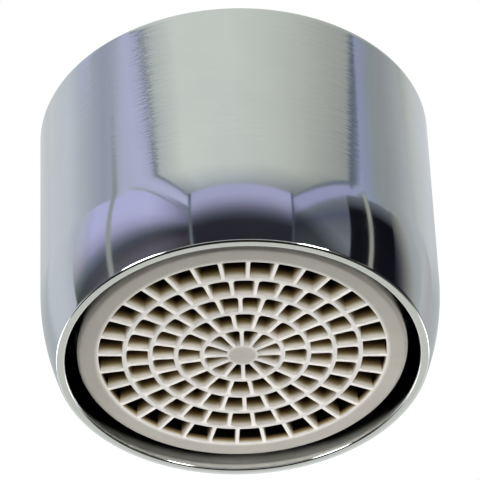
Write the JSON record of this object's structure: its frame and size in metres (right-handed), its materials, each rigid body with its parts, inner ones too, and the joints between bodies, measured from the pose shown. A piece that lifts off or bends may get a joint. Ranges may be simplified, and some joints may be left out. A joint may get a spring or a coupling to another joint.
{
  "type": "flow restrictor",
  "caption": "Screw-on tap outlet with a flow regulator and aerator: chromed sleeve with a female thread, plastic cartridge, rubber washer and a ringed outlet grid.",
  "frame": {"origin": "centre of the flat outlet rim, which the part stands on", "axes": "+Z along the water path's axis, from the outlet up to the threaded inlet"},
  "size_m": [0.024, 0.024, 0.0176],
  "materials": {
    "chromed_brass": "polished brass with bright chrome plate",
    "grid_plastic": "moulded acetal, satin, warm pale grey",
    "tube_plastic": "moulded acetal, satin, warm pale grey",
    "inner_plastic": "moulded acetal, dark grey",
    "regulator_plastic": "moulded acetal, pale grey",
    "ring_rubber": "moulded nitrile rubber",
    "strainer_plastic": "moulded acetal, natural white",
    "washer_rubber": "cut EPDM sheet, matt black"
  },
  "bodies": {
    "root": {"housing": "chromed_brass", "outlet_grid": "grid_plastic", "cartridge_tube": "tube_plastic", "lower_mixing_grid": "inner_plastic", "upper_mixing_grid": "inner_plastic", "jet_plate": "inner_plastic", "regulator_seat": "regulator_plastic", "regulator_ring": "ring_rubber", "inlet_strainer": "strainer_plastic", "sealing_washer": "washer_rubber"}
  },
  "joints": []
}
